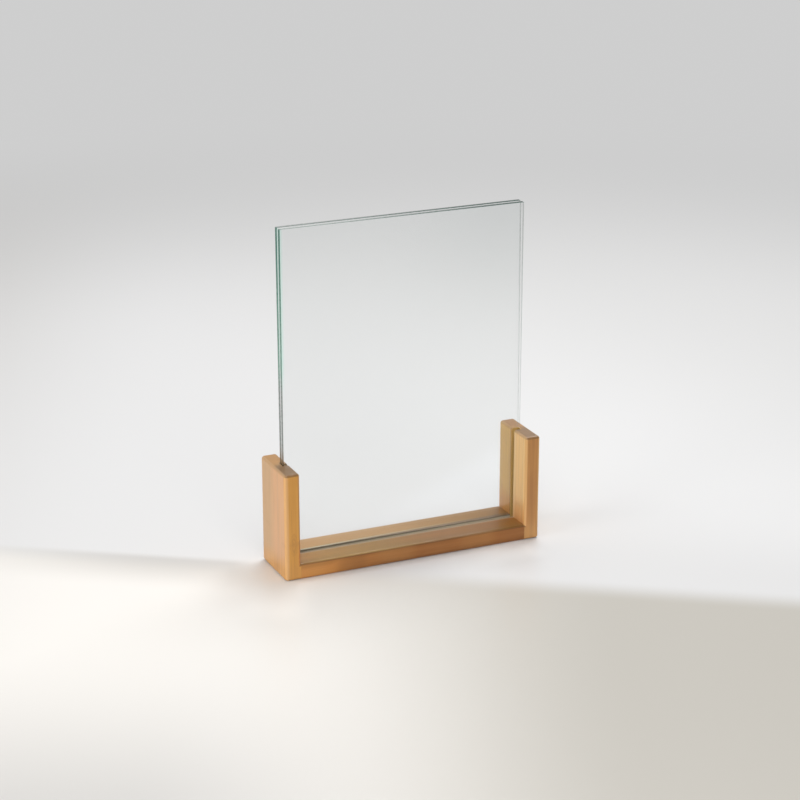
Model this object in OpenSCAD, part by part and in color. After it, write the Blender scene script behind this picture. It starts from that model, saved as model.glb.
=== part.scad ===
// Tabletop holder for one upright card: a U of bamboo boards with a groove
// round its inside, and two clear panes that stand in the groove with the card
// between them. X runs along the rail, Y from front to back, Z up from the table.
// The origin is on the table, at the middle of the base.

/* [Base] */
// Width over the outer faces of both posts
base_w = 145; // [120:1:220]
// Depth from the front face to the back face
base_d = 33; // [29:0.5:50]
// Height of the posts above the table
post_h = 58; // [40:1:90]
// Thickness of each post
post_t = 8.5; // [8:0.5:12]
// Thickness of the rail between the posts
rail_t = 8.5; // [8:0.5:12]
// Radius of the rounded outer edges
edge_r = 1.5; // [0.5:0.1:2.5]

/* [Groove] */
// Depth of the groove in the inner face of each post
post_groove_depth = 4; // [2.5:0.5:5]
// Depth of the groove in the top of the rail
rail_groove_depth = 4; // [2:0.5:5]
// Gap between a wall of the groove and the face of the pane beside it
face_gap = 0.1; // [0.05:0.05:0.3]
// Gap between a pane's side edge and the bottom of the post's groove
side_gap = 0.5; // [0.2:0.1:1]

/* [Panes] */
// Height of each pane
pane_h = 177.8; // [120:0.1:260]
// Thickness of each pane
pane_t = 2; // [1.5:0.1:3]
// Gap between the panes at their feet, where the card stands
card_gap = 0.3; // [0.2:0.05:1]
// How far the back pane leans back between its foot and the top of the posts
lean_slack = 0.5; // [0.2:0.1:1]
// Width of the fine bevel ground along the edges of the glass
arris = 0.25; // [0.1:0.05:0.5]

/* [Dowels] */
// Diameter of each dowel
dowel_d = 4; // [3:0.5:5]
// Length of each dowel
dowel_l = 17; // [12:0.5:22]
// Length of each dowel that stands in the post
dowel_in_post = 5.5; // [4:0.5:6.5]
// Distance from the front or back face to the axis of the nearer dowel
dowel_inset = 8; // [6:0.5:9]
// Gap round a dowel that the glue fills
glue_gap = 0.05; // [0.02:0.01:0.1]
// Length left free past each end of a dowel
end_gap = 0.5; // [0.2:0.1:1]
// Chamfer on the ends of a dowel
dowel_chamfer = 0.5; // [0.2:0.1:0.8]

/* [Hidden] */
$fn = 48;

// Overrun of every cut past the face that it starts from
cut_over = 1;

// The rail fills the window between the inner faces of the posts
window_w = base_w - 2 * post_t;
inner_x = window_w / 2;
outer_x = base_w / 2;

// The groove takes both panes, the card's gap and the slack for the lean
groove_w = 2 * pane_t + card_gap + lean_slack + 2 * face_gap;
groove_floor_z = rail_t - rail_groove_depth;

// The panes reach into the grooves of both posts and stand on the groove's floor
pane_w = window_w + 2 * (post_groove_depth - side_gap);
front_pane_y = face_gap - groove_w / 2;
back_pane_y = front_pane_y + pane_t + card_gap;
lean = atan(lean_slack / (post_h - groove_floor_z));

// Dowels lie at half the rail's thickness, one near each long face
dowel_y = base_d / 2 - dowel_inset;
dowel_z = rail_t / 2;
dowel_outer_x = inner_x + dowel_in_post;
bore_outer_x = dowel_outer_x + end_gap;
bore_l = dowel_l + 2 * end_gap;

// Rectangle from the origin to [a, b]. Where rounds holds true the corner has
// radius r; the corners run anticlockwise from the origin
module soft_rect(a, b, r, rounds = [true, true, true, true]) {
    translate([r, 0]) square([a - 2 * r, b]);
    translate([0, r]) square([a, b - 2 * r]);
    for (i = [0:3]) {
        right = i == 1 || i == 2;
        top = i > 1;
        if (rounds[i])
            translate([right ? a - r : r, top ? b - r : r]) circle(r);
        else
            translate([right ? a - r : 0, top ? b - r : 0]) square(r);
    }
}

// Rectangle from the origin to [a, b] with its corners cut off by c
module cut_rect(a, b, c) {
    polygon([
        [c, 0], [a - c, 0], [a, c], [a, b - c],
        [a - c, b], [c, b], [0, b - c], [0, c]
    ]);
}

// Stands an outline drawn in Y and Z upright and runs it along X for a length
module run_along_x(x, length) {
    translate([x, -base_d / 2, 0]) rotate([90, 0, 90]) linear_extrude(length) children();
}

// The rail's section, with all four long edges rounded, from x on for a length
module rail_bar(x, length) {
    run_along_x(x, length) soft_rect(base_d, rail_t, edge_r);
}

// The groove that the panes stand in, open at the top of the rail and posts
module groove() {
    depth_x = inner_x + post_groove_depth;
    translate([-depth_x, -groove_w / 2, groove_floor_z])
        cube([2 * depth_x, groove_w, post_h - groove_floor_z + cut_over]);
}

// What rounds a post's inner upright edges off above the rail. It stops against
// the rail's own rounded edge, so the two rounds meet in a mitre
module inner_edge_cutter() {
    x = outer_x - post_t;
    difference() {
        for (side = [-1, 1])
            translate([x, side * base_d / 2, rail_t - edge_r])
                translate([-cut_over, side < 0 ? -cut_over : -edge_r, 0])
                    cube([edge_r + cut_over, edge_r + cut_over, post_h]);
        for (side = [-1, 1])
            translate([x + edge_r, side * (base_d / 2 - edge_r), 0])
                cylinder(r = edge_r, h = post_h + rail_t);
        rail_bar(x - 2 * cut_over, 2 * edge_r + 3 * cut_over);
    }
}

// The two bores for the dowels of the right joint
module dowel_bores() {
    for (side = [-1, 1])
        translate([bore_outer_x - bore_l, side * dowel_y, dowel_z]) rotate([0, 90, 0])
            cylinder(d = dowel_d + 2 * glue_gap, h = bore_l);
}

// The right post; its foot is square where the rail meets it
module post() {
    color([0.80, 0.60, 0.38]) difference() {
        intersection() {
            translate([inner_x, -base_d / 2, 0]) linear_extrude(post_h)
                soft_rect(post_t, base_d, edge_r, [false, true, true, false]);
            run_along_x(inner_x, post_t) soft_rect(base_d, post_h, edge_r);
            translate([inner_x, base_d / 2, 0]) rotate([90, 0, 0]) linear_extrude(base_d)
                soft_rect(post_t, post_h, edge_r, [false, true, true, true]);
        }
        inner_edge_cutter();
        groove();
        dowel_bores();
    }
}

module right_post() { post(); }

module left_post() { mirror([1, 0, 0]) post(); }

module base_rail() {
    color([0.70, 0.47, 0.27]) difference() {
        rail_bar(-inner_x, window_w);
        groove();
        dowel_bores();
        mirror([1, 0, 0]) dowel_bores();
    }
}

// A pane with its foot along the X axis and its front face at y = 0
module pane() {
    color([0.78, 0.90, 0.86, 0.4]) intersection() {
        translate([-pane_w / 2, 0, 0]) linear_extrude(pane_h) cut_rect(pane_w, pane_t, arris);
        translate([-pane_w / 2, 0, 0]) rotate([90, 0, 90]) linear_extrude(pane_w)
            cut_rect(pane_t, pane_h, arris);
    }
}

module front_pane() {
    translate([0, front_pane_y, groove_floor_z]) pane();
}

// The back pane leans back about the lower edge of its back face
module back_pane() {
    translate([0, back_pane_y + pane_t, groove_floor_z]) rotate([-lean, 0, 0])
        translate([0, -pane_t, 0]) pane();
}

// One dowel of the right joint, at the back for side 1 and the front for side -1
module dowel(side) {
    straight_l = dowel_l - 2 * dowel_chamfer;
    color([0.86, 0.74, 0.55])
    translate([dowel_outer_x - dowel_l, side * dowel_y, dowel_z]) rotate([0, 90, 0])
        rotate_extrude() polygon([
            [0, 0], [dowel_d / 2 - dowel_chamfer, 0], [dowel_d / 2, dowel_chamfer],
            [dowel_d / 2, dowel_chamfer + straight_l],
            [dowel_d / 2 - dowel_chamfer, dowel_l], [0, dowel_l]
        ]);
}

module right_front_dowel() { dowel(-1); }

module right_back_dowel() { dowel(1); }

module left_front_dowel() { mirror([1, 0, 0]) dowel(-1); }

module left_back_dowel() { mirror([1, 0, 0]) dowel(1); }

left_post();
right_post();
base_rail();
front_pane();
back_pane();
left_front_dowel();
left_back_dowel();
right_front_dowel();
right_back_dowel();
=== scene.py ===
"""Tabletop card holder: a U of bamboo boards, and two glass panes in its groove."""

import bmesh
import bpy
import numpy as np
from mathutils import Matrix, Vector


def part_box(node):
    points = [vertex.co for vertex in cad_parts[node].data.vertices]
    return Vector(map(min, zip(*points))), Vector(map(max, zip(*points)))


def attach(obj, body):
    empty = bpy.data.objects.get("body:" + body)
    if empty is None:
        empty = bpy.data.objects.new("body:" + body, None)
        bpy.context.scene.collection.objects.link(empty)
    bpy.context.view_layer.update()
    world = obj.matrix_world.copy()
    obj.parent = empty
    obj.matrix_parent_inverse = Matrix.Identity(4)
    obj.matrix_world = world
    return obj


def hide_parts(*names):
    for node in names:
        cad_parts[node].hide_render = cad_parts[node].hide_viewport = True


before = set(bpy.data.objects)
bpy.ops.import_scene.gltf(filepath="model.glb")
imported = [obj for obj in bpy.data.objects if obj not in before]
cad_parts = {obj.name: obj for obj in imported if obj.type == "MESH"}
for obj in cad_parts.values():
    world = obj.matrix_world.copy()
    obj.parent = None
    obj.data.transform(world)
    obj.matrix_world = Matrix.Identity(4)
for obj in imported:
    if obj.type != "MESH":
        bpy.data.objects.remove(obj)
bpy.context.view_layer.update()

# The base rail: a caramel bamboo board that lies flat between the posts. Its four long
# edges are rounded, and the groove that the panes stand in is milled along its top.
mm = 0.001
joint_x, half_depth, rail_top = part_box("base_rail")[1]
edge_round = 1.5 * mm
lip_round = 0.3 * mm
groove_half = 2.5 * mm
groove_floor = 4.5 * mm
strip_width = 5.6 * mm
round_steps = 10
lip_steps = 4


def arc(centre, radius, first, last, steps):
    """Points of an arc: centre + radius * (cos t, sin t), with t in degrees from first to
    last."""
    t = np.radians(np.linspace(first, last, steps + 1))
    return np.array(centre) + radius * np.stack([np.cos(t), np.sin(t)], axis=1)


def skin(name, rings, rising=None, falling=None):
    """A closed skin. rings has the shape (n, m, 3): point j of ring i joins point j of
    ring i + 1, each ring closes on itself, and a flat face shuts both ends. The cells
    that rising marks are cut from (i, j) to (i + 1, j + 1), and those of falling from
    (i, j + 1) to (i + 1, j)."""
    count, around = rings.shape[:2]
    at = np.arange(count * around).reshape(count, around)
    beside = np.roll(at, -1, axis=1)
    cells = np.stack([at[:-1], beside[:-1], beside[1:], at[1:]], axis=2)
    up = np.zeros(cells.shape[:2], bool) if rising is None else rising
    down = np.zeros(cells.shape[:2], bool) if falling is None else falling
    faces = cells[~(up | down)].tolist()
    for marked, halves in ((up, ((0, 1, 2), (0, 2, 3))), (down, ((0, 1, 3), (1, 2, 3)))):
        for half in halves:
            faces += cells[marked][:, half].tolist()
    faces += [at[0, ::-1].tolist(), at[-1].tolist()]
    mesh = bpy.data.meshes.new(name)
    mesh.from_pydata(rings.reshape(-1, 3), [], faces)
    shell = bmesh.new()
    shell.from_mesh(mesh)
    bmesh.ops.remove_doubles(shell, verts=shell.verts, dist=1e-7)
    bmesh.ops.recalc_face_normals(shell, faces=shell.faces)
    shell.to_mesh(mesh)
    shell.free()
    return mesh


def rod(start, end, axis_y, axis_z, radius, sides=48):
    """Rings of a round rod along X from start to end."""
    circle = arc((axis_y, axis_z), radius, 0, 360, sides)[:-1]
    rings = np.empty((2, sides, 3))
    rings[:, :, 0] = [[start], [end]]
    rings[:, :, 1:] = circle
    return rings


def bored(mesh, bores):
    """The mesh less its bores. Each bore is the start and end in X, then Y and Z of its
    axis and its radius."""
    blank = bpy.data.objects.new("blank", mesh)
    bpy.context.scene.collection.objects.link(blank)
    cutters = []
    for bore in bores:
        cutter = bpy.data.objects.new("cutter", skin("cutter", rod(*bore)))
        bpy.context.scene.collection.objects.link(cutter)
        cut = blank.modifiers.new("bore", "BOOLEAN")
        cut.operation, cut.solver, cut.object = "DIFFERENCE", "EXACT", cutter
        cutters.append(cutter)
    seen = blank.evaluated_get(bpy.context.evaluated_depsgraph_get())
    result = bpy.data.meshes.new_from_object(seen)
    for used in [blank, *cutters]:
        bpy.data.objects.remove(used)
    return result


def piece(name, mesh, materials, body, sharp_from=35):
    """Puts a finished mesh into the scene as one piece that stands for its CAD node.
    Edges that turn by more than sharp_from degrees stay sharp."""
    for material in materials:
        mesh.materials.append(material)
    mesh.shade_smooth()
    mesh.set_sharp_from_angle(angle=np.radians(sharp_from))
    made = bpy.data.objects.new(name + "_made", mesh)
    bpy.context.scene.collection.objects.link(made)
    flat = made.modifiers.new("flat faces stay flat", "WEIGHTED_NORMAL")
    flat.keep_sharp = True
    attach(made, body)
    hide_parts(name)


def node(tree, kind, sources=None, **settings):
    """Adds a shader node. A socket among its sources is linked, and a number is set."""
    made = tree.nodes.new("ShaderNode" + kind)
    for name, value in settings.items():
        setattr(made, name, value)
    for name, value in (sources or {}).items():
        if isinstance(value, bpy.types.NodeSocket):
            tree.links.new(value, made.inputs[name])
        else:
            made.inputs[name].default_value = value
    return made


def reckon(tree, operation, *values, clamp=False):
    """The result of a Math node on sockets or numbers."""
    return node(
        tree, "Math", dict(enumerate(values)), operation=operation, use_clamp=clamp
    ).outputs[0]


def product(tree, first, *others):
    """Sockets or numbers multiplied together."""
    for other in others:
        first = reckon(tree, "MULTIPLY", first, other)
    return first


def ease(tree, value, start, end):
    """0 before start, 1 past end, and a smooth step between them."""
    return node(
        tree,
        "MapRange",
        {"Value": value, "From Min": start, "From Max": end},
        interpolation_type="SMOOTHSTEP",
    ).outputs[0]


def noise(tree, place, scale, detail):
    """A cloudy pattern from 0 to 1, with about scale patches to the metre."""
    return node(
        tree, "TexNoise", {"Vector": place, "Scale": scale, "Detail": detail}
    ).outputs[0]


def blended(tree, share, under, over):
    """Two colours mixed by share."""
    mixed = node(tree, "Mix", data_type="RGBA")
    factor, first, second = mixed.inputs[0], mixed.inputs[6], mixed.inputs[7]
    for socket, value in ((factor, share), (first, under), (second, over)):
        if isinstance(value, bpy.types.NodeSocket):
            tree.links.new(value, socket)
        else:
            socket.default_value = value
    return mixed.outputs[2]


def painted(tree, colour, over, *shares):
    """The colour with another laid over it, by the product of the shares."""
    return blended(tree, product(tree, *shares), colour, over)


def new_material(name):
    """An empty node material and its output node."""
    made = bpy.data.materials.new(name)
    made.use_nodes = True
    made.node_tree.nodes.clear()
    return made, made.node_tree, made.node_tree.nodes.new("ShaderNodeOutputMaterial")


pore = (0.33, 0.145, 0.038, 1)
end_brown = (0.16, 0.09, 0.032, 1)


def bamboo(name, grain_axis, looks, tones_and_light, wear_and_light):
    """Laminated caramel bamboo under a satin lacquer. Strips lie side by side across Y,
    with their fibres along the grain axis, X or Z. Each strip has its own tone between
    deep and pale, and its own knot within knot_reach of knot_shift. The first function
    given shifts the board's colour, partly with painted light and shade, before pores,
    knots and glue lines mark it, and the second lays over them dark seams, whorls, worn
    edges and painted highlights, shade and reflections."""
    made, tree, out = new_material(name)
    place = node(tree, "TexCoord").outputs
    axes = node(tree, "SeparateXYZ", {0: place["Object"]}).outputs
    facing = node(tree, "SeparateXYZ", {0: place["Normal"]}).outputs
    along, across = axes[grain_axis], axes["Y"]
    depth = axes["X" if grain_axis == "Z" else "Z"]

    strip = reckon(tree, "DIVIDE", across, strip_width)
    number = reckon(tree, "FLOOR", strip)
    part = reckon(tree, "FRACT", strip)

    def lot(ratio, start):
        """A number from 0 to 1 for each strip: the fraction of its number times ratio."""
        return reckon(tree, "FRACT", reckon(tree, "MULTIPLY_ADD", number, ratio, start))

    tone_lot = lot(0.618034, looks["seed"] + 10)
    knot_lot = lot(0.754878, looks["seed"] + 20)
    slid = reckon(tree, "MULTIPLY_ADD", tone_lot, 3.7, along)
    deeper = reckon(tree, "MULTIPLY_ADD", knot_lot, 0.31, depth)

    knot_reach = (130 if grain_axis == "X" else 110) * mm
    nearest = looks["knot_shift"] - knot_reach
    knot_at = reckon(tree, "MULTIPLY_ADD", knot_lot, 2 * knot_reach, nearest)
    off_knot = reckon(tree, "SUBTRACT", along, knot_at)
    swirl_place = node(tree, "CombineXYZ", {0: along, 1: across, 2: deeper}).outputs[0]
    swirl = noise(tree, swirl_place, 420.0, 1.0)
    wavy = reckon(tree, "MULTIPLY_ADD", swirl, 3.4 * mm, -1.7 * mm)
    from_knot = reckon(tree, "ADD", off_knot, wavy)
    off_ring = reckon(tree, "ABSOLUTE", from_knot)
    near_knot = ease(tree, reckon(tree, "ABSOLUTE", off_knot), 5.5 * mm, 0.5 * mm)
    knot = ease(tree, off_ring, 2.2 * mm, 0.6 * mm)
    ring = ease(tree, off_ring, 0.7 * mm, 0.1 * mm)

    bend = product(tree, near_knot, reckon(tree, "SUBTRACT", swirl, 0.5))
    bent = reckon(tree, "MULTIPLY_ADD", bend, 2.2 * mm, across)
    bent_depth = reckon(tree, "MULTIPLY_ADD", bend, 2.2 * mm, deeper)

    def fibres(per_along, per_across, kind, **sources):
        """A pattern drawn out along the grain, which bends round the knots."""
        drawn = node(
            tree,
            "CombineXYZ",
            {
                0: product(tree, slid, per_along),
                1: product(tree, bent, per_across),
                2: product(tree, bent_depth, per_across),
            },
        ).outputs[0]
        return node(tree, kind, {"Vector": drawn, "Scale": 1.0, **sources}).outputs[0]

    streak = fibres(13.0, 520.0, "TexNoise", Detail=2.0)
    fine = fibres(45.0, 2300.0, "TexNoise", Detail=2.0)
    bundle = ease(tree, fibres(28.0, 1250.0, "TexVoronoi"), 0.36, 0.12)
    cloud = noise(tree, swirl_place, 34.0, 2.0)

    tone = reckon(tree, "MULTIPLY_ADD", tone_lot, 0.42, -0.21)
    for pattern, weight in ((streak, 1.15), (fine, 0.45), (cloud, 1.1)):
        sway = reckon(tree, "MULTIPLY_ADD", pattern, weight, -weight / 2)
        tone = reckon(tree, "ADD", tone, sway)
    tone = reckon(tree, "ADD", tone, 0.5, clamp=True)
    colour = blended(tree, tone, looks["deep"], looks["pale"])

    board = {
        "along": along,
        "across": across,
        "depth": depth,
        "facing": facing,
        "streak": streak,
        "cloud": cloud,
        "from_knot": from_knot,
    }
    colour = tones_and_light(tree, looks, colour, **board)
    # End grain is darker brown; the extra darkness on the front half of the posts' tops
    # is painted shade of the panes.
    end_grain = ease(tree, reckon(tree, "ABSOLUTE", facing[grain_axis]), 0.4, 0.9)
    pane_shaded_half = ease(tree, across, 3 * mm, -4 * mm)
    end_share = reckon(tree, "MULTIPLY_ADD", pane_shaded_half, 0.42, 0.38)
    colour = painted(tree, colour, end_brown, end_grain, end_share)
    colour = painted(tree, colour, pore, bundle, 0.30)
    marked = 1.0 if grain_axis == "X" else 0.3
    colour = painted(tree, colour, pore, knot, 0.26 * marked)
    colour = painted(tree, colour, pore, ring, 0.20 * marked)
    off_middle = reckon(tree, "ABSOLUTE", reckon(tree, "SUBTRACT", part, 0.5))
    glue = ease(tree, off_middle, 0.482, 0.497)
    colour = painted(tree, colour, pore, glue, 0.28)
    colour = wear_and_light(tree, looks, colour, **board)

    height = product(tree, fine, 0.35)
    for pattern, weight in ((bundle, -0.5), (ring, 0.8), (streak, 0.4)):
        height = reckon(tree, "MULTIPLY_ADD", pattern, weight, height)
    bump = node(tree, "Bump", {"Height": height, "Strength": 0.4, "Distance": 0.05 * mm})
    rough = reckon(tree, "MULTIPLY_ADD", streak, 0.16, 0.30)
    rough = reckon(tree, "MULTIPLY_ADD", bundle, 0.10, rough)
    wood = node(
        tree,
        "BsdfPrincipled",
        {
            "Base Color": colour,
            "Roughness": rough,
            "Normal": bump.outputs[0],
            "Specular IOR Level": 0.15,
            "Coat Weight": looks["coat"],
            "Coat Roughness": 0.40,
        },
    )
    tree.links.new(wood.outputs[0], out.inputs["Surface"])
    return made


def groove_shade_and_light(tree, colour, across, line_end, lip, shade_line_weight, shade_line_tone, within, wall):
    """Along the groove's back lip, from its wall to line_end, a fine dark line is
    painted:
    painted shade that widens the groove's shadowed back edge. The walls are painted with
    the light and shade that the glass lets into the groove."""
    # Painted shade in a fine line by the back lip, then painted light and shade on the
    # walls.
    past_wall = ease(tree, across, groove_half - 0.1 * mm, groove_half + 0.1 * mm)
    colour = painted(tree, colour, shade_line_tone, line_end, past_wall, lip, shade_line_weight)
    off_middle = reckon(tree, "ABSOLUTE", across)
    beside = ease(tree, off_middle, groove_half + 0.25 * mm, groove_half)
    return painted(tree, colour, wall, beside, within)


# Dark brown: painted shade on the rail's rounded upper front edge, along the front of its
# top and in a band just above the table; also the dark part of the front face's figure
# and a band under its upper edge at the left.
dark_tone_and_shade = (0.14, 0.052, 0.010, 1)
amber = (0.60, 0.31, 0.10, 1)
straw = (0.32, 0.21, 0.05, 1)
tawny = (0.60, 0.40, 0.08, 1)
# Painted light: green light that the glass throws behind the groove, and the pane's foot
# mirrored in the lacquer before it.
glass_light_green = (0.62, 0.66, 0.48, 1)
reflection_cream = (0.70, 0.64, 0.52, 1)


def blotchy(tree, along, cloud):
    """The place along the rail, pushed to and fro, so that a change of tone is ragged."""
    return reckon(tree, "MULTIPLY_ADD", cloud, 24 * mm, along)


def rail_tones_and_light(tree, looks, colour, along, cloud, **others):
    """The rail's left end is lighter, of the tone tint, and its right end is deeper:
    partly the board's own tone, partly painted light that falls off to the right.
    """
    place = blotchy(tree, along, cloud)
    # Partly painted light that falls off to the right, partly the board's own tone.
    at_left = ease(tree, place, -6 * mm, -44 * mm)
    at_right = ease(tree, place, 10 * mm, 55 * mm)
    colour = painted(tree, colour, looks["tint"], at_left, 0.85)
    return painted(tree, colour, looks["deep"], at_right, 0.45)


def rail_front(tree, colour, along, depth, facing, cloud):
    """The front face has a slow light and dark figure, the sine of 132 x + 2.6 + cloud,
    with x in metres. It is darker under its upper edge at the left, and a band of painted
    shade lies just above the table from there to the right."""
    forward = ease(tree, facing["Y"], -0.5, -0.9)
    swing = reckon(tree, "MULTIPLY_ADD", along, 132.0, 2.6)
    swing = reckon(tree, "SINE", reckon(tree, "ADD", swing, cloud))
    colour = painted(tree, colour, amber, forward, ease(tree, swing, -0.2, 0.9), 0.17)
    leftward = ease(tree, along, -5 * mm, -30 * mm)
    dusky = product(
        tree,
        ease(tree, swing, 0.0, -1.0),
        ease(tree, along, -60 * mm, -43 * mm),
        reckon(tree, "MULTIPLY_ADD", leftward, 0.24, 0.09),
    )
    under_edge = ease(tree, depth, rail_top - 4.2 * mm, rail_top - 1.6 * mm)
    under_edge = product(tree, under_edge, ease(tree, along, -34 * mm, -52 * mm))
    # A band of painted shade just above the table.
    by_table = ease(tree, depth, 3.8 * mm, 1.4 * mm)
    by_table = product(tree, by_table, ease(tree, along, -50 * mm, -5 * mm))
    banded = product(tree, reckon(tree, "MAXIMUM", under_edge, by_table), 0.30)
    return painted(tree, colour, dark_tone_and_shade, forward, reckon(tree, "MAXIMUM", dusky, banded))


def rail_upper_face(tree, looks, colour, along, across, facing, cloud, past_line):
    """The top has painted shade along its front edge and is tawny before the groove.
    Behind the groove it has painted light of the tone rear, which turns to straw at the
    right.
    Behind the back lip lies a painted line of green light from the glass, fainter to the
    right, and before the front lip a painted reflection of the pane's foot."""
    upward = ease(tree, facing["Z"], 0.5, 0.9)
    # Painted shade along the front of the top.
    front_strip_shade = ease(tree, across, 7.5 * mm - half_depth, 1.5 * mm - half_depth)
    colour = painted(tree, colour, dark_tone_and_shade, front_strip_shade, upward, 0.5)

    place = blotchy(tree, along, cloud)
    behind = ease(tree, across, -groove_half, groove_half)
    ahead = reckon(tree, "SUBTRACT", 1.0, behind)
    # Painted light on the top behind the panes, weaker to the right.
    leftward = ease(tree, place, 62 * mm, -10 * mm)
    back_light_tone = blended(tree, leftward, straw, looks["rear"])
    back_light_share = reckon(tree, "MULTIPLY_ADD", leftward, 0.16, 0.50)
    colour = painted(tree, colour, back_light_tone, back_light_share, behind, upward)
    middle = product(
        tree, ease(tree, place, 30 * mm, -20 * mm), ease(tree, place, -60 * mm, -35 * mm)
    )
    front_share = reckon(tree, "MULTIPLY_ADD", middle, 0.26, 0.14)
    colour = painted(tree, colour, tawny, front_share, ahead, upward)

    # A painted line of green light from the glass, behind the back lip.
    back_lip = product(
        tree,
        ease(tree, past_line, groove_half + 1.5 * mm, groove_half + 0.8 * mm),
        ease(tree, past_line, groove_half - 0.1 * mm, groove_half + 0.2 * mm),
    )
    fading = reckon(tree, "MULTIPLY_ADD", along, -8.0, 0.36)
    colour = painted(tree, colour, glass_light_green, back_lip, upward, fading)
    # A painted reflection of the pane's foot, before the front lip.
    front_lip = ease(tree, across, -groove_half - 2.2 * mm, -groove_half - 0.8 * mm)
    return painted(tree, colour, reflection_cream, front_lip, ahead, upward, 0.35)


def rail_wear_and_light(tree, looks, colour, along, across, depth, facing, cloud, **others):
    """A dark seam ends the rail at each post, and its upper front edge has painted shade.
    A line of painted shade by the groove widens from left to right, and the groove's
    walls have painted shade under the lips."""
    by_post = ease(
        tree, reckon(tree, "ABSOLUTE", along), joint_x - 0.28 * mm, joint_x - 0.04 * mm
    )
    colour = painted(tree, colour, pore, by_post, 0.3)
    # Painted shade on the rounded upper front edge, where the lamps would light it.
    front_edge_shade = product(
        tree, ease(tree, facing["Y"], -0.10, -0.35), ease(tree, facing["Z"], 0.18, 0.58)
    )
    colour = painted(tree, colour, dark_tone_and_shade, front_edge_shade, 0.8)
    colour = rail_front(tree, colour, along, depth, facing, cloud)

    line_width = reckon(tree, "MULTIPLY_ADD", along, 0.025, 1.3 * mm)
    past_line = reckon(tree, "SUBTRACT", across, line_width)
    colour = rail_upper_face(tree, looks, colour, along, across, facing, cloud, past_line)

    # Painted shade: the groove's walls are darker under the lips.
    sunk = reckon(tree, "MULTIPLY_ADD", along, -0.0045, depth)
    under_lip = ease(tree, sunk, rail_top - 1.1 * mm, rail_top - 0.5 * mm)
    return groove_shade_and_light(
        tree,
        colour,
        across,
        line_end=ease(tree, past_line, groove_half + 0.1 * mm, groove_half - 0.2 * mm),
        lip=ease(tree, depth, rail_top - 0.6 * mm, rail_top - 0.3 * mm),
        shade_line_weight=reckon(tree, "MULTIPLY_ADD", along, -2.8, 0.78),
        shade_line_tone=(0.15, 0.12, 0.08, 1),
        within=ease(tree, depth, groove_floor - 0.4 * mm, groove_floor - 0.1 * mm),
        wall=blended(tree, under_lip, looks["groove"], (0.22, 0.185, 0.13, 1)),
    )


def rail_outline():
    """The rail's section in Y and Z: a rectangle with four round corners, less the groove
    in its top, whose lips have a small radius."""
    r, e = edge_round, lip_round
    far, top = half_depth - r, rail_top - r
    lip, lip_top = groove_half + e, rail_top - e
    return np.concatenate(
        [
            arc((-far, r), r, 180, 270, round_steps),
            arc((far, r), r, 270, 360, round_steps),
            arc((far, top), r, 0, 90, round_steps),
            arc((lip, lip_top), e, 90, 180, lip_steps),
            [(groove_half, groove_floor), (-groove_half, groove_floor)],
            arc((-lip, lip_top), e, 0, 90, lip_steps),
            arc((-far, top), r, 90, 180, round_steps),
        ]
    )


dowel_radius = 2.0 * mm
bore_radius = 2.05 * mm
bore_in_post = 6.0 * mm
bore_in_rail = 12.0 * mm
dowel_y = half_depth - 8.0 * mm
dowel_z = rail_top / 2
past = 1.0 * mm

rail_steps = 16
rail_section = rail_outline()
rail_stations = np.linspace(-joint_x, joint_x, rail_steps + 1)
rail_rings = np.empty((len(rail_stations), len(rail_section), 3))
rail_rings[:, :, 0] = rail_stations[:, None]
rail_rings[:, :, 1:] = rail_section
rail_bores = [
    (side * (joint_x - bore_in_rail), side * (joint_x + past), y, dowel_z, bore_radius)
    for side in (-1, 1)
    for y in (-dowel_y, dowel_y)
]
rail_looks = {
    "seed": 0.37,
    "knot_shift": 10 * mm,
    "pale": (0.43, 0.172, 0.040, 1),
    "deep": (0.275, 0.096, 0.015, 1),
    # tint is the lighter left end, partly painted light; rear is painted light on the top
    # behind the panes; groove is painted light on the groove's lower walls.
    "tint": (0.60, 0.255, 0.058, 1),
    "rear": (0.64, 0.41, 0.19, 1),
    "groove": (0.78, 0.665, 0.505, 1),
    "coat": 0.7,
}
rail_bamboo = bamboo("rail bamboo", "X", rail_looks, rail_tones_and_light, rail_wear_and_light)
rail_shape = bored(skin("base rail", rail_rings), rail_bores)
piece("base_rail", rail_shape, [rail_bamboo], "base")

# The four dowels: fluted beech pins, 4 by 17 mm, that pin the rail's ends to the posts.
# Each is glued into a pair of blind bores, and its ends are chamfered.
dowel_length = 17.0 * mm
dowel_in_post = 5.5 * mm
dowel_chamfer = 0.5 * mm
flutes = 14
flute_depth = 0.13 * mm


def dowel_mesh(name, side, axis_y):
    """Radius by angle t and length x: the rod's radius less flute_depth times the fourth
    power of cos(flutes t / 2), and less the chamfer near both ends."""
    t = np.linspace(0, 2 * np.pi, flutes * 8, endpoint=False)
    x = np.array([0, 0.5, 1.0, 6.0, 11.0, 16.0, 16.5, 17.0]) * mm
    from_end = np.minimum(x, dowel_length - x)
    chamfer = np.clip(dowel_chamfer - from_end, 0, None)
    flute = flute_depth * np.cos(flutes * t / 2) ** 4
    depth_of_flute = np.clip(from_end / dowel_chamfer, 0, 1)
    radius = (dowel_radius - chamfer)[:, None] - depth_of_flute[:, None] * flute
    outer = joint_x + dowel_in_post
    rings = np.empty((len(x), len(t), 3))
    rings[:, :, 0] = side * (outer - dowel_length + x)[:, None]
    rings[:, :, 1] = axis_y + radius * np.cos(t)
    rings[:, :, 2] = dowel_z + radius * np.sin(t)
    return skin(name, rings)


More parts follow.
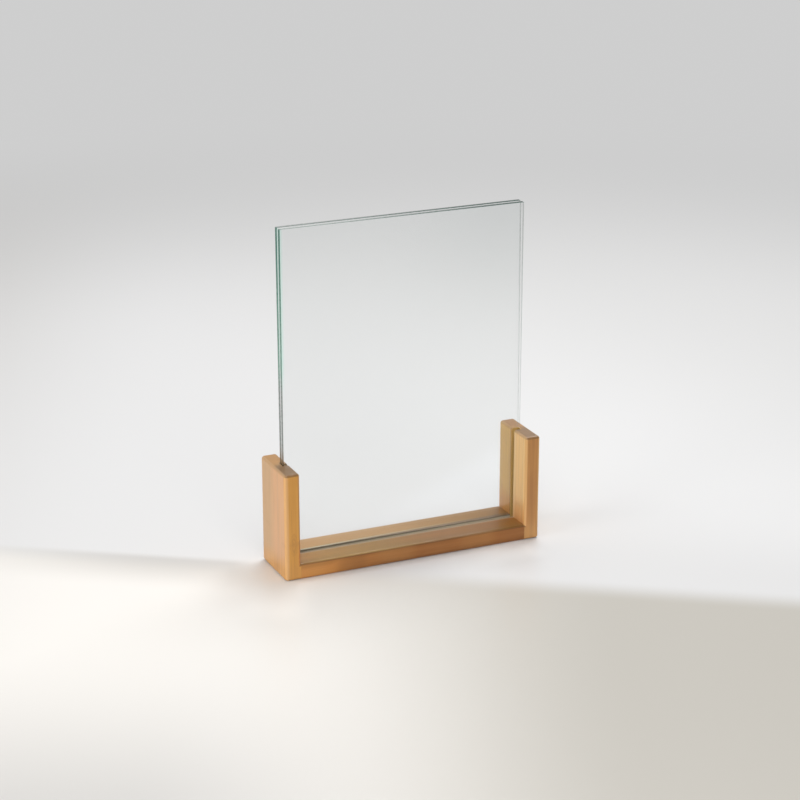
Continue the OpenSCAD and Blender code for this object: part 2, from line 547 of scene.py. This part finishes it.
def beech():
    """Bare beech along X: pale pinkish wood with short dark flecks."""
    made, tree, out = new_material("beech")
    place = node(tree, "TexCoord").outputs["Object"]
    stretched = {"Vector": place, "Scale": (70.0, 1500.0, 1500.0)}
    drawn = node(tree, "Mapping", stretched).outputs[0]
    grain = noise(tree, drawn, 1.0, 3.0)
    cells = node(tree, "TexVoronoi", {"Vector": drawn, "Scale": 1.4}).outputs[0]
    fleck = ease(tree, cells, 0.30, 0.12)
    colour = blended(tree, grain, (0.52, 0.34, 0.19, 1), (0.74, 0.55, 0.36, 1))
    colour = painted(tree, colour, (0.3, 0.16, 0.08, 1), fleck, 0.5)
    bump = node(tree, "Bump", {"Height": grain, "Strength": 0.4, "Distance": 0.05 * mm})
    rough = reckon(tree, "MULTIPLY_ADD", grain, 0.2, 0.5)
    wood = node(
        tree,
        "BsdfPrincipled",
        {"Base Color": colour, "Roughness": rough, "Normal": bump.outputs[0]},
    )
    tree.links.new(wood.outputs[0], out.inputs["Surface"])
    return made


dowel_beech = beech()
for dowel_name, side, axis_y in (
    ("left_front_dowel", -1, -dowel_y),
    ("left_back_dowel", -1, dowel_y),
    ("right_front_dowel", 1, -dowel_y),
    ("right_back_dowel", 1, dowel_y),
):
    dowel_shape = dowel_mesh(dowel_name, side, axis_y)
    piece(dowel_name, dowel_shape, [dowel_beech], "base")

# The two posts: upright bamboo boards, butted against the rail's ends and glued there.
# Every edge is rounded but those of the joint, and the groove runs up the inner faces.
post_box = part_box("right_post")
post_thickness = post_box[1][0] - post_box[0][0]
post_top = post_box[1][2]
post_groove_depth = 4.0 * mm
shaft_steps = 8


def post_mesh(name, side):
    """A ring at height z is the plan of the post there. A round edge of radius r insets
    the plan by q(w) = r - sqrt(r^2 - (r - w)^2), with w the height above the foot or
    below the top. Each inner corner is round above the rail and square beside it, and
    between them its inset is the lesser of q(u) and q(v), with u the distance from the
    inner face and v the distance below the rail's top, which meet in a mitre."""
    r, e, deep = edge_round, lip_round, post_groove_depth
    turn = np.linspace(0, np.pi / 2, round_steps + 1)
    rise, run = np.sin(turn), np.cos(turn)

    def inset(w):
        left = np.clip(r - w, 0, r)
        return r - np.sqrt(r * r - left * left)

    z = np.concatenate(
        [
            r * (1 - run),
            [groove_floor, groove_floor],
            rail_top - r * (1 - run[::-1]),
            np.linspace(rail_top, post_top - r, shaft_steps + 1)[1:-1],
            post_top - r * (1 - run[::-1]),
        ]
    )
    foot = len(turn)
    groove_open = (np.arange(len(z)) > foot)[:, None]
    mitre = slice(foot + 2, foot + 2 + len(turn))
    below_rail = np.arange(len(z)) < mitre.stop
    low, high = inset(z), inset(post_top - z)
    outer = (low + high)[:, None]
    limit = np.where(below_rail, np.maximum(low, inset(rail_top - z)), 1.0)
    limit[: foot + 2] = low[: foot + 2]
    limit[mitre.stop - 1] = 1.0

    high = high[:, None]
    corner_u = r - (r - high) * run
    corner_y = np.minimum(r - (r - high) * rise, limit[:, None])
    corner_y = np.maximum(corner_y, low[:, None])
    outer_u = post_thickness - r + (r - outer) * rise
    outer_y = r - (r - outer) * run
    lip_turn = np.linspace(0, np.pi / 2, lip_steps + 1)
    left = np.clip(e - (post_top - z), 0, e)[:, None]
    half = groove_half + e - np.sqrt(e * e - left * left)
    lip_u = np.where(groove_open, high + e * (1 - np.cos(lip_turn)), 0)
    lip_y = half + e * (1 - np.sin(lip_turn))
    wall_u = np.where(groove_open, deep, 0)

    plan = [
        (corner_u, corner_y - half_depth),
        (outer_u, outer_y - half_depth),
        (outer_u[:, ::-1], half_depth - outer_y[:, ::-1]),
        (corner_u[:, ::-1], half_depth - corner_y[:, ::-1]),
        (lip_u, lip_y),
        (wall_u, half),
        (wall_u, -half),
        (lip_u[:, ::-1], -lip_y[:, ::-1]),
    ]
    u, y = (np.concatenate(parts, axis=1) for parts in zip(*plan))
    level = np.broadcast_to(z[:, None], u.shape)
    rings = np.stack([side * (joint_x + u), y, level], axis=2)

    rows = np.arange(mitre.start, mitre.stop - 1)
    columns = np.arange(round_steps)
    falling = np.zeros((len(z) - 1, u.shape[1]), bool)
    rising = falling.copy()
    falling[np.ix_(rows, columns)] = True
    rising[np.ix_(rows, columns + 3 * len(turn))] = True
    return skin(name, rings, rising, falling)


umber = (0.33, 0.18, 0.075, 1)
# Reddish painted bounce light and shade from the rail.
rail_bounce_russet = (0.55, 0.09, 0.005, 1)
lighter_gold = (1.0, 0.80, 0.45, 1)
# A painted highlight on the upright edges, in part also worn paler.
highlight_and_wear_tan = (0.68, 0.38, 0.15, 1)
# Painted shade on the top's front edge.
rim_shade_brown = (0.22, 0.11, 0.03, 1)
dulled_tan = (0.47, 0.29, 0.15, 1)


def post_tones_and_light(tree, looks, colour, along, across, depth, facing, streak, **others):
    """The broad faces are of the tone tint in their front half and rear behind, the
    darker rear being painted shade of the panes, and the tint fades towards the foot as
    painted shade, while a little of it shows low on the narrow faces. Umber streaks run
    up them.
    The inner face reddens towards the rail with painted bounce light and shade from it,
    and is lighter before the groove."""
    broad = reckon(tree, "ABSOLUTE", facing["X"])
    narrow = reckon(tree, "SUBTRACT", 1.0, broad)
    # Painted shade: the tint fades towards the foot.
    above_foot = ease(tree, along, 4 * mm, 14 * mm)
    on_broad = product(tree, reckon(tree, "MULTIPLY_ADD", above_foot, 0.78, 0.12), broad)
    at_foot = reckon(tree, "MULTIPLY_ADD", above_foot, -0.14, 0.14)
    tinted = reckon(tree, "MULTIPLY_ADD", at_foot, narrow, on_broad)
    # Painted shade: the half of each broad face behind the panes takes the darker tone
    # rear.
    backward = ease(tree, across, -4 * mm, 6 * mm)
    tint = blended(tree, backward, looks["tint"], looks["rear"])
    colour = blended(tree, tinted, colour, tint)
    colour = painted(tree, colour, umber, ease(tree, streak, 0.50, 0.34), broad, 0.17)
    inner = ease(tree, product(tree, facing["X"], depth), 0, -20 * mm)
    # Painted bounce light and shade from the rail, low on the inner face.
    by_rail = ease(tree, along, 24 * mm, 14 * mm)
    colour = painted(tree, colour, rail_bounce_russet, by_rail, inner, 0.3)
    before_groove = product(
        tree,
        ease(tree, across, -groove_half - 3.5 * mm, -groove_half - 1.0 * mm),
        ease(tree, across, 0, -groove_half),
    )
    return painted(tree, colour, lighter_gold, before_groove, inner, 0.3)


def post_wear_and_light(tree, looks, colour, across, depth, facing, from_knot, **others):
    """The outer upright edges carry a painted highlight and are in part worn paler, the
    top's front edge has painted shade and its side edges are dulled. A knot shows on the
    narrow faces as a small whorl, whose rings are the sine of 7.2 times the distance from
    its middle in mm."""
    # A painted highlight on the upright edges, in part also worn paler.
    upright_edge = product(tree, facing["X"], facing["Y"])
    left_edge = product(
        tree,
        ease(tree, depth, -joint_x - 6.0 * mm, -joint_x - 6.9 * mm),
        ease(tree, facing["Y"], -0.3, -0.8),
    )
    edge_highlight_and_wear = reckon(tree, "MAXIMUM", ease(tree, upright_edge, 0.2, 0.42), left_edge)
    colour = painted(tree, colour, highlight_and_wear_tan, edge_highlight_and_wear, 0.9)
    # Painted shade on the top's front edge, where the lamps would leave a highlight.
    front_rim = product(tree, facing["Y"], facing["Z"])
    colour = painted(tree, colour, rim_shade_brown, ease(tree, front_rim, -0.08, -0.35), 0.85)
    side_rim = product(tree, reckon(tree, "ABSOLUTE", facing["X"]), facing["Z"])
    colour = painted(tree, colour, dulled_tan, ease(tree, side_rim, 0.15, 0.40), 0.7)

    off_middle = reckon(tree, "ABSOLUTE", depth)
    sideways = reckon(tree, "SUBTRACT", off_middle, joint_x + 3.8 * mm)
    drawn_in = reckon(tree, "DIVIDE", from_knot, 2.9)
    whorl_place = node(tree, "CombineXYZ", {0: sideways, 1: drawn_in}).outputs[0]
    reach = node(tree, "VectorMath", {0: whorl_place}, operation="LENGTH")
    reach = reach.outputs["Value"]
    turns = reckon(tree, "SINE", product(tree, reach, 7.2 / mm))
    turns = reckon(tree, "MULTIPLY_ADD", turns, 0.3, 0.7)
    whorl = ease(tree, reach, 2.6 * mm, 1.3 * mm)
    colour = painted(tree, colour, pore, whorl, turns, 0.34)

    bottom = joint_x + post_groove_depth
    return groove_shade_and_light(
        tree,
        colour,
        across,
        line_end=ease(tree, across, groove_half + 0.9 * mm, groove_half + 0.6 * mm),
        lip=ease(tree, off_middle, joint_x + 0.6 * mm, joint_x + 0.3 * mm),
        shade_line_weight=0.8,
        shade_line_tone=(0.25, 0.07, 0.008, 1),
        within=ease(tree, off_middle, bottom + 0.4 * mm, bottom + 0.1 * mm),
        wall=looks["groove"],
    )


# rear is the darker tone behind the panes, painted shade; groove is painted light and
# shade on the groove's walls. The right post's tint is brighter than its wood: partly
# painted light on its inner face.
post_looks = {
    "left_post": {
        "seed": 0.765,
        "knot_shift": 19.5 * mm,
        "pale": (0.66, 0.32, 0.062, 1),
        "deep": (0.50, 0.225, 0.036, 1),
        "tint": (0.61, 0.315, 0.125, 1),
        "rear": (0.495, 0.285, 0.115, 1),
        "groove": (0.35, 0.22, 0.10, 1),
        "coat": 0.9,
    },
    "right_post": {
        "seed": 0.954,
        "knot_shift": 30 * mm,
        "pale": (0.63, 0.305, 0.078, 1),
        "deep": (0.41, 0.178, 0.048, 1),
        "tint": (1.0, 0.635, 0.25, 1),
        "rear": (0.66, 0.41, 0.10, 1),
        "groove": (0.80, 0.50, 0.16, 1),
        "coat": 0.9,
    },
}
for post_name, side in (("left_post", -1), ("right_post", 1)):
    finish_name = post_name.replace("_", " ") + " bamboo"
    post_bamboo = bamboo(finish_name, "Z", post_looks[post_name], post_tones_and_light, post_wear_and_light)
    mouth, bottom = side * (joint_x - past), side * (joint_x + bore_in_post)
    post_bores = [(mouth, bottom, y, dowel_z, bore_radius) for y in (-dowel_y, dowel_y)]
    post_shape = bored(post_mesh(post_name, side), post_bores)
    piece(post_name, post_shape, [post_bamboo], "base")

# The two panes: clear float glass, 2 mm thick, with a fine bevel ground along the edges.
# They stand loose in the groove, the front one upright and the back one leaning back.
pane_width = 135.0 * mm
pane_height = 177.8 * mm
pane_thickness = 2.0 * mm
card_gap = 0.3 * mm
arris = 0.25 * mm
corner_round = 0.6 * mm
corner_steps = 6
lean_slack = 0.5 * mm
glass_ior = 1.52


def clear_glass():
    """Clear glass, faintly green beside its left edge where that edge is green, and a
    little darker towards its top right corner, a painted dimmer reflection there. For
    rays from lamps and matt surfaces it is a plain pane that lets through what its two
    faces don't mirror."""
    made, tree, out = new_material("clear glass")
    place = node(tree, "TexCoord").outputs["Object"]
    axes = node(tree, "SeparateXYZ", {0: place}).outputs
    left = -pane_width / 2
    # Painted shade: a dimmer reflection towards the top right corner.
    corner = product(
        tree,
        ease(tree, axes["X"], -20 * mm, 60 * mm),
        ease(tree, axes["Z"], 105 * mm, 178 * mm),
    )
    colour = blended(tree, corner, (0.986, 0.994, 0.996, 1), (0.955, 0.967, 0.968, 1))
    beside_edge = ease(tree, axes["X"], left + 2.0 * mm, left + 0.9 * mm)
    high_up = ease(tree, axes["Z"], 92 * mm, 115 * mm)
    colour = painted(tree, colour, (0.84, 1.0, 0.95, 1), beside_edge, high_up)
    smudge = noise(tree, place, 26.0, 3.0)
    rough = product(tree, ease(tree, smudge, 0.55, 0.8), 0.015)
    glass = node(
        tree,
        "BsdfPrincipled",
        {
            "Base Color": colour,
            "Roughness": rough,
            "IOR": glass_ior,
            "Transmission Weight": 1.0,
        },
    )
    back = node(tree, "NewGeometry").outputs["Backfacing"]
    mirrored = node(tree, "Fresnel", {"IOR": glass_ior}).outputs[0]
    passed = reckon(tree, "SUBTRACT", 1.0, mirrored)
    passed = reckon(tree, "MAXIMUM", product(tree, passed, passed), back)
    let_through = node(tree, "BsdfTransparent", {"Color": passed})
    ray = node(tree, "LightPath").outputs
    plain_ray = reckon(tree, "MAXIMUM", ray["Is Shadow Ray"], ray["Is Diffuse Ray"])
    either = node(
        tree, "MixShader", {0: plain_ray, 1: glass.outputs[0], 2: let_through.outputs[0]}
    )
    tree.links.new(either.outputs[0], out.inputs["Surface"])
    return made


def edge_glass():
    """The ground edge, seen from outside. Light that comes to it along the glass is brown
    between the posts, grey above them and green higher up, and along the top it darkens
    to the right. From inside the glass the edge hardly shows."""
    made, tree, out = new_material("edge glass")
    place = node(tree, "TexCoord").outputs
    axes = node(tree, "SeparateXYZ", {0: place["Object"]}).outputs
    facing = node(tree, "SeparateXYZ", {0: place["Normal"]}).outputs
    low_grey, mid_green = (0.16, 0.178, 0.17, 1), (0.125, 0.25, 0.20, 1)
    high_green, foot_brown = (0.0, 0.10, 0.068, 1), (0.13, 0.09, 0.055, 1)
    side = blended(tree, ease(tree, axes["Z"], 95 * mm, 112 * mm), low_grey, mid_green)
    side = blended(tree, ease(tree, axes["Z"], 105 * mm, 180 * mm), side, high_green)
    side = blended(tree, ease(tree, axes["Z"], 70 * mm, 61 * mm), side, foot_brown)
    along_top = ease(tree, axes["X"], -72 * mm, 66 * mm)
    in_front = ease(tree, axes["Y"], 0.6 * mm, -0.2 * mm)
    top = blended(tree, in_front, (0.30, 0.31, 0.305, 1), (0.52, 0.54, 0.53, 1))
    top = blended(tree, along_top, top, (0.015, 0.03, 0.026, 1))
    colour = blended(tree, ease(tree, facing["Z"], 0.5, 0.9), side, top)
    marks = noise(tree, place["Object"], 900.0, 2.0)
    colour = painted(tree, colour, (0.3, 0.42, 0.37, 1), marks, 0.08)
    rough = reckon(tree, "MULTIPLY_ADD", marks, 0.2, 0.18)
    back = node(tree, "NewGeometry").outputs["Backfacing"]
    colour = blended(tree, back, colour, (0.25, 0.255, 0.25, 1))
    ground = node(tree, "BsdfPrincipled", {"Base Color": colour, "Roughness": rough})
    clear = node(tree, "BsdfTransparent", {"Color": (0.97, 0.985, 0.98, 1)})
    seen_inside = product(tree, ease(tree, axes["Z"], 125 * mm, 180 * mm), 0.3)
    share = node(tree, "Mix", {0: back, 2: 0.96, 3: seen_inside}).outputs[0]
    surface = node(
        tree, "MixShader", {0: share, 1: clear.outputs[0], 2: ground.outputs[0]}
    )
    ray = node(tree, "LightPath").outputs
    let_through = node(tree, "BsdfTransparent", {"Color": (0.8, 0.88, 0.85, 1)})
    either = node(
        tree,
        "MixShader",
        {0: ray["Is Shadow Ray"], 1: surface.outputs[0], 2: let_through.outputs[0]},
    )
    tree.links.new(either.outputs[0], out.inputs["Surface"])
    return made


def pane_mesh(name, foot_y, lean):
    """The pane's outline in X and Z, a rectangle with small round corners, is carried
    across the thickness, inset by the arris at both faces. The pane then turns by lean
    about the lower edge of its back face."""
    c = corner_round
    half = pane_width / 2
    ends = []
    for inset, depth in (
        (arris, 0),
        (0, arris),
        (0, pane_thickness - arris),
        (arris, pane_thickness),
    ):
        outline = np.concatenate(
            [
                arc((half - c, c), c - inset, 270, 360, corner_steps),
                arc((half - c, pane_height - c), c - inset, 0, 90, corner_steps),
                arc((c - half, pane_height - c), c - inset, 90, 180, corner_steps),
                arc((c - half, c), c - inset, 180, 270, corner_steps),
            ]
        )
        ends.append(np.insert(outline, 1, depth, axis=1))
    rings = np.stack(ends)
    y, z = rings[:, :, 1] - pane_thickness, rings[:, :, 2].copy()
    rings[:, :, 1] = foot_y + pane_thickness + y * np.cos(lean) + z * np.sin(lean)
    rings[:, :, 2] = groove_floor + z * np.cos(lean) - y * np.sin(lean)
    return skin(name, rings)


glass_materials = [clear_glass(), edge_glass()]
front_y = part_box("front_pane")[0].y
lean_angle = np.arctan(lean_slack / (post_top - groove_floor))
back_y = front_y + pane_thickness + card_gap
for pane_name, foot_y, lean in (
    ("front_pane", front_y, 0.0),
    ("back_pane", back_y, lean_angle),
):
    pane_shape = pane_mesh(pane_name, foot_y, lean)
    sizes = np.zeros(len(pane_shape.polygons))
    pane_shape.polygons.foreach_get("area", sizes)
    is_edge = sizes < pane_width * pane_height / 2
    pane_shape.polygons.foreach_set("material_index", is_edge.astype(np.int32))
    piece(pane_name, pane_shape, glass_materials, pane_name, 20)

# The stage: a pale floor that runs far back, with painted light and shade near the
# object, soft lamps behind the object to the right, to its left and in front, an even
# pale sky, and the photograph's camera.
lens_mm = 102.88
azimuth, elevation, roll = np.radians([-24.09, 19.249, 0.023])
camera_place = Vector((-457.38, -1020.02, 473.5)) * mm
far_grey = 0.62


def seen_ray(tree):
    """1 for a ray from the camera, also once glass or gloss has turned it."""
    ray = node(tree, "LightPath").outputs
    seen = reckon(tree, "MAXIMUM", ray["Is Camera Ray"], ray["Is Glossy Ray"])
    return reckon(tree, "MAXIMUM", seen, ray["Is Transmission Ray"])


def floor_colour(tree, axes):
    """Distances are taken away from the camera and rightward across its line of sight. A
    slanting line parts the neutral back from the warm front. In front the floor is
    lighter at the object's left foot, painted light, and darkens to the right, painted
    falloff of light, and a soft painted shade lies left of it by the line. Behind, it is
    duller beside the right post and far off to the right, painted shade, and lighter
    before the rail's right half, painted light. Near the lamps it is darker all over,
    painted shade, so that it doesn't turn white."""
    sight_x, sight_y = 0.408, 0.913
    away = reckon(
        tree, "MULTIPLY_ADD", axes["X"], sight_x, product(tree, axes["Y"], sight_y)
    )
    rightward = reckon(
        tree, "MULTIPLY_ADD", axes["X"], sight_y, product(tree, axes["Y"], -sight_x)
    )
    line = reckon(tree, "MULTIPLY_ADD", rightward, 0.16, away)

    # Painted falloff of light to the right.
    fall_right = ease(tree, rightward, -90 * mm, 110 * mm)
    warm = blended(tree, fall_right, (0.905, 0.88, 0.845, 1), (0.505, 0.482, 0.435, 1))
    from_foot = reckon(tree, "ABSOLUTE", reckon(tree, "ADD", rightward, 66 * mm))
    from_line = reckon(tree, "ABSOLUTE", reckon(tree, "ADD", line, 76 * mm))
    # Painted light at the object's left foot.
    lit_foot = ease(tree, from_foot, 26 * mm, 4 * mm)
    by_line = ease(tree, from_line, 34 * mm, 6 * mm)
    warm = painted(tree, warm, (1.0, 0.975, 0.94, 1), lit_foot, by_line)

    rise_right = ease(tree, rightward, -60 * mm, 90 * mm)
    cool = blended(tree, rise_right, (0.76, 0.76, 0.765, 1), (0.80, 0.80, 0.805, 1))
    # Painted shade far off to the right.
    far_right = reckon(tree, "MULTIPLY_ADD", rightward, 0.9, away)
    far_right = ease(tree, far_right, 140 * mm, 650 * mm)
    cool = blended(tree, far_right, cool, (0.69, 0.69, 0.69, 1))
    # Painted shade beside the right post.
    near_post = ease(tree, line, 90 * mm, -15 * mm)
    right_of_post = ease(tree, rightward, 30 * mm, 90 * mm)
    cool = painted(tree, cool, (0.72, 0.72, 0.725, 1), near_post, right_of_post)
    # Painted light before the rail's right half.
    from_rail = reckon(tree, "ABSOLUTE", reckon(tree, "ADD", axes["Y"], half_depth))
    before_rail = product(
        tree,
        ease(tree, from_rail, 28 * mm, 8 * mm),
        ease(tree, axes["X"], 70 * mm, 58 * mm),
        ease(tree, rightward, 30 * mm, 58 * mm),
    )
    cool = blended(tree, before_rail, cool, (0.98, 0.98, 0.98, 1))

    colour = blended(tree, ease(tree, line, -26 * mm, -50 * mm), cool, warm)
    # A soft painted shade left of the object.
    shade = product(
        tree,
        ease(tree, line, -27 * mm, -36 * mm),
        ease(tree, line, -75 * mm, -36 * mm),
        ease(tree, rightward, -70 * mm, -90 * mm),
        ease(tree, rightward, -280 * mm, -120 * mm),
    )
    colour = painted(tree, colour, (0.38, 0.36, 0.33, 1), shade, 0.45)
    # Painted shade near the lamps, so that the floor doesn't turn white.
    toward_front_lamp = product(
        tree,
        ease(tree, away, -110 * mm, -330 * mm),
        ease(tree, rightward, 40 * mm, -120 * mm),
    )
    toward_left_lamp = ease(tree, rightward, -155 * mm, -420 * mm)
    near_lamps = reckon(tree, "MAXIMUM", toward_front_lamp, toward_left_lamp)
    return blended(tree, near_lamps, colour, (0.60, 0.59, 0.575, 1))


def floor():
    """A pale floor with a faint gloss. Far off it is seen as an even pale grey, so that
    it has no horizon against the sky."""
    made, tree, out = new_material("floor")
    place = node(tree, "TexCoord").outputs["Object"]
    colour = floor_colour(tree, node(tree, "SeparateXYZ", {0: place}).outputs)
    surface = node(
        tree, "BsdfPrincipled", {"Base Color": colour, "Roughness": 0.4, "IOR": 1.5}
    )
    distance = node(tree, "VectorMath", {0: place}, operation="LENGTH").outputs["Value"]
    backdrop = product(tree, seen_ray(tree), ease(tree, distance, 450 * mm, 1050 * mm))
    even = node(tree, "Emission", {"Strength": far_grey})
    surface = node(
        tree, "MixShader", {0: backdrop, 1: surface.outputs[0], 2: even.outputs[0]}
    )
    tree.links.new(surface.outputs[0], out.inputs["Surface"])
    reach, below = 6.0, -0.02 * mm
    mesh = bpy.data.meshes.new("floor")
    mesh.from_pydata(
        [(-reach, -reach, 0), (reach, -reach, 0), (reach, reach, 0), (-reach, reach, 0)],
        [],
        [(0, 1, 2, 3)],
    )
    mesh.materials.append(made)
    plane = bpy.data.objects.new("floor", mesh)
    bpy.context.scene.collection.objects.link(plane)
    plane.location.z = below


def soft_light(name, place, aim, size, power, colour, mirrored=True):
    """A square area lamp at place that faces aim. Where mirrored is false, gloss doesn't
    show it, so that it leaves no glare on the floor."""
    lamp = bpy.data.lights.new(name, "AREA")
    lamp.shape, lamp.size, lamp.energy, lamp.color = "SQUARE", size, power, colour
    holder = bpy.data.objects.new(name, lamp)
    holder.location = place
    toward_aim = Vector(aim) - Vector(place)
    holder.rotation_euler = toward_aim.to_track_quat("-Z", "Y").to_euler()
    holder.visible_glossy = mirrored
    bpy.context.scene.collection.objects.link(holder)


floor()
soft_light("overhead", (0.40, 0.36, 1.02), (0, 0.05, 0), 0.6, 8.3, (1, 1, 1))
soft_light(
    "left", (-1.25, -0.05, 0.50), (0, 0, 0.04), 1.0, 9.8, (1, 0.98, 0.95), mirrored=False
)
soft_light("front", (-0.45, -1.30, 0.90), (0, 0, 0.04), 1.2, 11.0, (1, 0.99, 0.97))

sky_light = 0.28
world = bpy.data.worlds.new("studio")
world.use_nodes = True
sky_tree = world.node_tree
sky = sky_tree.nodes["Background"]
extra = far_grey - sky_light
strength = reckon(sky_tree, "MULTIPLY_ADD", seen_ray(sky_tree), extra, sky_light)
sky_tree.links.new(strength, sky.inputs["Strength"])
sky.inputs["Color"].default_value = (1, 1, 1, 1)
bpy.context.scene.world = world

backward = Vector(
    (
        np.sin(azimuth) * np.cos(elevation),
        -np.cos(azimuth) * np.cos(elevation),
        np.sin(elevation),
    )
)
level = Vector((np.cos(azimuth), np.sin(azimuth), 0))
upward = backward.cross(level)
right = np.cos(roll) * level + np.sin(roll) * upward
upward = backward.cross(right)
camera = bpy.data.cameras.new("camera")
camera.lens = lens_mm
camera_holder = bpy.data.objects.new("camera", camera)
camera_holder.matrix_world = Matrix(
    [(*row, place) for row, place in zip(zip(right, upward, backward), camera_place)]
    + [(0, 0, 0, 1)]
)
bpy.context.scene.collection.objects.link(camera_holder)
bpy.context.scene.camera = camera_holder
bpy.context.scene.view_settings.view_transform = "Standard"
